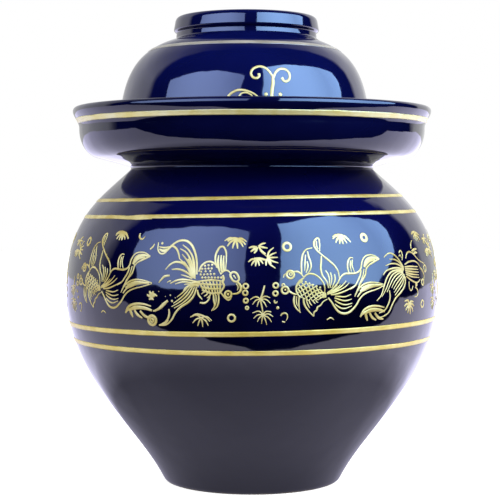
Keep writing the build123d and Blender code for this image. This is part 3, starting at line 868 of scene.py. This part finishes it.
# The camera sees it white with the jar's shadow. The glaze mirrors it as a glowing sheet with painted shade
# and light: a painted shadow beside the foot, where the jar stands in its light, and painted light further
# out, above all to the right.
shown = add(tree, "AddShader", {
    0: add(tree, "Emission", {"Strength": 0.8}).outputs[0],
    1: add(tree, "BsdfDiffuse", {"Color": linear("#F2F2F2")}).outputs[0],
}).outputs[0]
lit = add(tree, "BsdfDiffuse", {"Color": linear("#8C8C8C")}).outputs[0]
spot = add(tree, "TexCoord").outputs["Object"]
spot_parts = add(tree, "SeparateXYZ", {0: spot}).outputs
painted_light_to_right = add(tree, "MapRange", {
    "Value": spot_parts["X"], "From Min": -0.25, "From Max": 0.25, "To Min": 0.56, "To Max": 1.1,
}).outputs[0]
painted_shadow_by_foot = add(tree, "MapRange", {
    "Value": spot_parts["Y"], "From Min": -0.08, "From Max": -0.02, "To Min": 1.0, "To Max": 0.62,
}).outputs[0]
shaded = add(tree, "Math", {0: painted_light_to_right, 1: painted_shadow_by_foot}, operation="MULTIPLY").outputs[0]
away = add(tree, "VectorMath", {0: spot}, operation="LENGTH").outputs["Value"]
out_there = add(tree, "MapRange", {"Value": away, "From Min": 0.16, "From Max": 0.25}).outputs[0]
open_floor = add(tree, "MapRange", {
    "Value": spot_parts["X"], "From Min": -0.5, "From Max": 0.5, "To Min": 1.4, "To Max": 2.1,
}).outputs[0]
floor_light = add(tree, "Mix", {0: out_there, 2: shaded, 3: open_floor}).outputs[0]
# A floor that is seen twice over, as the shoulder sees it in the trough's underside, glows fainter: a painted
# shade under the trough.
twice_over = add(tree, "MapRange", {
    "Value": path["Ray Depth"], "From Min": 1.0, "From Max": 2.0, "To Min": 1.0, "To Max": 0.3,
}).outputs[0]
floor_light = add(tree, "Math", {0: floor_light, 1: twice_over}, operation="MULTIPLY").outputs[0]
mirrored = add(tree, "Emission", {"Color": (1.0, 0.97, 1.3, 1.0), "Strength": floor_light}).outputs[0]
mirror_path = add(
    tree, "Math", {0: path["Is Glossy Ray"], 1: path["Is Transmission Ray"]}, operation="MAXIMUM"
)
first = add(tree, "MixShader", {0: path["Is Camera Ray"], 1: lit, 2: shown}).outputs[0]
both = add(tree, "MixShader", {0: mirror_path.outputs[0], 1: first, 2: mirrored}).outputs[0]
add(tree, "OutputMaterial", {"Surface": both})
floor_mesh.materials.append(paper)

# Each card hangs over the jar with its top near and its foot far out in the room: its corners, its light,
# and the bearing of its brightest part, to the right of straight in front. It isn't mirrored twice over.
cards = {
    "left_card": (
        [(-0.70, -0.17, 0.63), (-0.41, -0.31, 0.64), (-0.21, -0.40, 0.66), (-0.01, -0.49, 0.61),
         (-0.31, -4.27, 0.65), (-5.91, -6.93, 0.56), (-8.65, -2.79, 0.56), (-1.43, -0.33, 0.60)],
        (3.4, 4.6, 8.7), -42,
    ),
    "right_card": (
        [(0.17, -0.47, 0.78), (0.47, -0.16, 0.74), (0.79, 0.16, 0.72), (1.06, 0.27, 0.71),
         (1.69, 0.25, 0.62), (3.07, -0.47, 0.33), (1.60, -1.93, 0.30), (0.76, -2.77, 0.39)],
        (5.4, 9.2, 16.6), 50,
    ),
}
for name, (outline, light, bearing) in cards.items():
    card_mesh = bpy.data.meshes.new(name)
    card_mesh.from_pydata(outline, [], [tuple(range(len(outline)))])
    card = bpy.data.objects.new(name, card_mesh)
    bpy.context.collection.objects.link(card)
    # A card lights nothing and is seen only by mirrored rays: its glow is a painted reflection in the glaze
    # and the gold.
    card.visible_camera = card.visible_diffuse = card.visible_shadow = card.visible_transmission = False
    glow, tree = new_material(name + "_glow")
    spot = add(tree, "TexCoord").outputs["Object"]
    on_floor = add(tree, "VectorMath", {0: spot, 1: (1, 1, 0)}, operation="MULTIPLY").outputs[0]
    side = add(tree, "VectorMath", {0: on_floor}, operation="NORMALIZE").outputs[0]
    middle = (sin(radians(bearing)), -cos(radians(bearing)), 0)
    nearness = add(tree, "VectorMath", {0: side, 1: middle}, operation="DOT_PRODUCT").outputs["Value"]
    level = add(tree, "MapRange", {
        "Value": nearness, "From Min": 0.82, "From Max": 1.0, "To Min": 0.55, "To Max": 0.82,
    }).outputs[0]
    bounce = add(tree, "LightPath").outputs["Ray Depth"]
    at_first = add(tree, "Math", {0: bounce, 1: 1.5}, operation="LESS_THAN").outputs[0]
    strength = add(tree, "Math", {0: level, 1: at_first}, operation="MULTIPLY").outputs[0]
    glow_or_lamp = add(tree, "Emission", {"Color": light + (1.0,), "Strength": strength})
    add(tree, "OutputMaterial", {"Surface": glow_or_lamp.outputs[0]})
    card_mesh.materials.append(glow)

# The room is plain white to the camera and lighter above than below. The glaze mirrors a backdrop behind the
# jar in it, which fades out upwards.
world = bpy.data.worlds.new("studio")
bpy.context.scene.world = world
world.use_nodes = True
tree = world.node_tree
tree.nodes.clear()
path = add(tree, "LightPath").outputs
way = add(tree, "SeparateXYZ", {0: add(tree, "TexCoord").outputs["Generated"]}).outputs
bearing = add(tree, "Math", {0: way["X"], 1: way["Y"]}, operation="ARCTAN2").outputs[0]
backdrop_right = 90
turn = add(tree, "MapRange", {
    "Value": bearing, "From Min": radians(-backdrop_right), "From Max": radians(backdrop_right),
}).outputs[0]
sweep = add(tree, "ValToRGB", {"Fac": turn})
# degrees to the right of straight behind, and the backdrop's light there as a share of the brightest
bright = [(-82, 0), (-73, 0.8), (-40, 0.75), (-15, 0.55), (20, 0.85), (49, 1), (55, 0)]
stops = sweep.color_ramp.elements
for _ in bright[2:]:
    stops.new(0.5)
for stop, (degrees, light) in zip(stops, bright):
    stop.position = 0.5 + degrees / (2 * backdrop_right)
    stop.color = (light, light, light, 1)
low_enough = add(tree, "MapRange", {
    "Value": way["Z"], "From Min": 0.45, "From Max": 1.0, "To Min": 1.3, "To Max": 0.0,
}).outputs[0]
backdrop = add(tree, "Math", {0: sweep.outputs["Color"], 1: low_enough}, operation="MULTIPLY").outputs[0]
from_above = add(
    tree, "MapRange", {"Value": way["Z"], "From Min": -0.1, "From Max": 1.0, "To Min": 0.35, "To Max": 1.3}
).outputs[0]
mirror_path = add(
    tree, "Math", {0: path["Is Glossy Ray"], 1: path["Is Transmission Ray"]}, operation="MAXIMUM"
)
plain = add(tree, "Mix", {0: mirror_path.outputs[0], 2: from_above, 3: backdrop}).outputs[0]
level = add(tree, "Mix", {0: path["Is Camera Ray"], 2: plain, 3: 1.0}).outputs[0]
air = add(tree, "Background", {"Color": (1, 1, 1, 1), "Strength": level})
add(tree, "OutputWorld", {"Surface": air.outputs[0]})

# place, degrees of its turn, size and power of each lamp, none of which shows in the glaze
lamps = {
    "lamp_left": ((-1.0, -1.1, 1.9), (40, 0, -42), 1.4, 7),
    "lamp_right": ((1.3, -0.8, 1.7), (44, 0, 58), 1.4, 34),
}
for name, (place, turned_to, size, power) in lamps.items():
    bpy.ops.object.light_add(type="AREA", location=place, rotation=[radians(a) for a in turned_to])
    glow_or_lamp = bpy.context.object
    glow_or_lamp.name = name
    glow_or_lamp.data.size = size
    glow_or_lamp.data.energy = power
    glow_or_lamp.visible_glossy = False

# Camera. It stands a little above the middle of the jar and looks slightly down, through a long lens.
eye = (-0.0013, -0.9313, 0.1819)
eye_tilt = radians(87.969)
bpy.ops.object.camera_add(location=eye, rotation=(eye_tilt, 0, 0))
camera = bpy.context.object
camera.data.lens = 103.05
camera.data.sensor_width = 36
bpy.context.scene.camera = camera
bpy.context.scene.view_settings.view_transform = "Standard"
